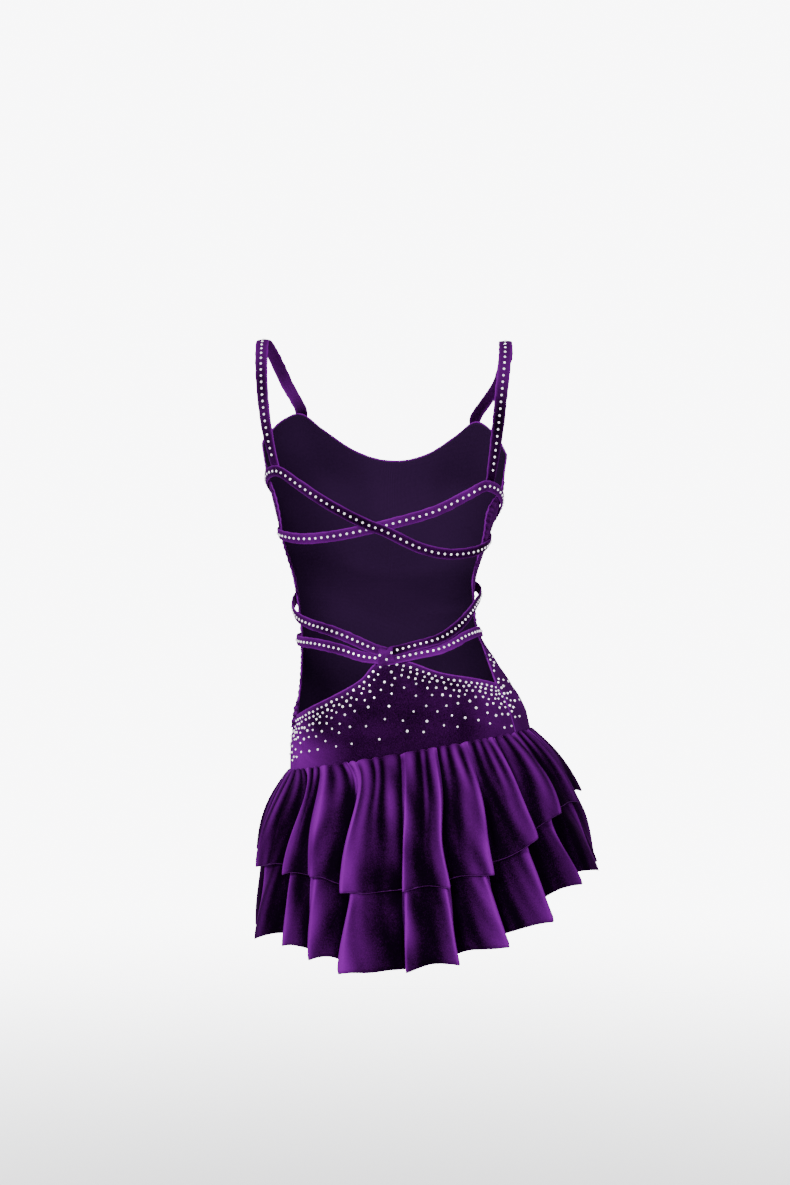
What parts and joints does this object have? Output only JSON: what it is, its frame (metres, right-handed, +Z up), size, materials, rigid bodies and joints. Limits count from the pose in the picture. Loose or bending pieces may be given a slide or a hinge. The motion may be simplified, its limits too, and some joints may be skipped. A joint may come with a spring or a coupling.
{
  "type": "latin dance dress",
  "caption": "Short latin dance dress with an open, strapped back, a peaked hip yoke and two gathered velvet tiers, hollow and in its worn pose.",
  "frame": {"origin": "midway between the tops of the two shoulder straps, where the wearer's shoulders hold the dress", "axes": "+Z up, -Y out of the back of the dress, +Y out of its front, +X towards the wearer's right side"},
  "size_m": [0.4471, 0.3576, 0.7964],
  "materials": {
    "velvet": "deep purple stretch velvet with a short nap",
    "rhinestone": "clear cut flat-back stones with a silver foil",
    "thread": "purple polyester sewing thread"
  },
  "bodies": {
    "root": {"front_panel": "velvet", "hip_yoke_back": "velvet", "shoulder_strap_left": "velvet", "shoulder_strap_right": "velvet", "cross_strap_over": "velvet", "cross_strap_under": "velvet", "waist_strap_left_upper": "velvet", "waist_strap_left_lower": "velvet", "waist_strap_right_upper": "velvet", "waist_strap_right_lower": "velvet", "upper_ruffle_back": "velvet", "upper_ruffle_front": "velvet", "lower_ruffle_back": "velvet", "lower_ruffle_front": "velvet"}
  },
  "joints": []
}
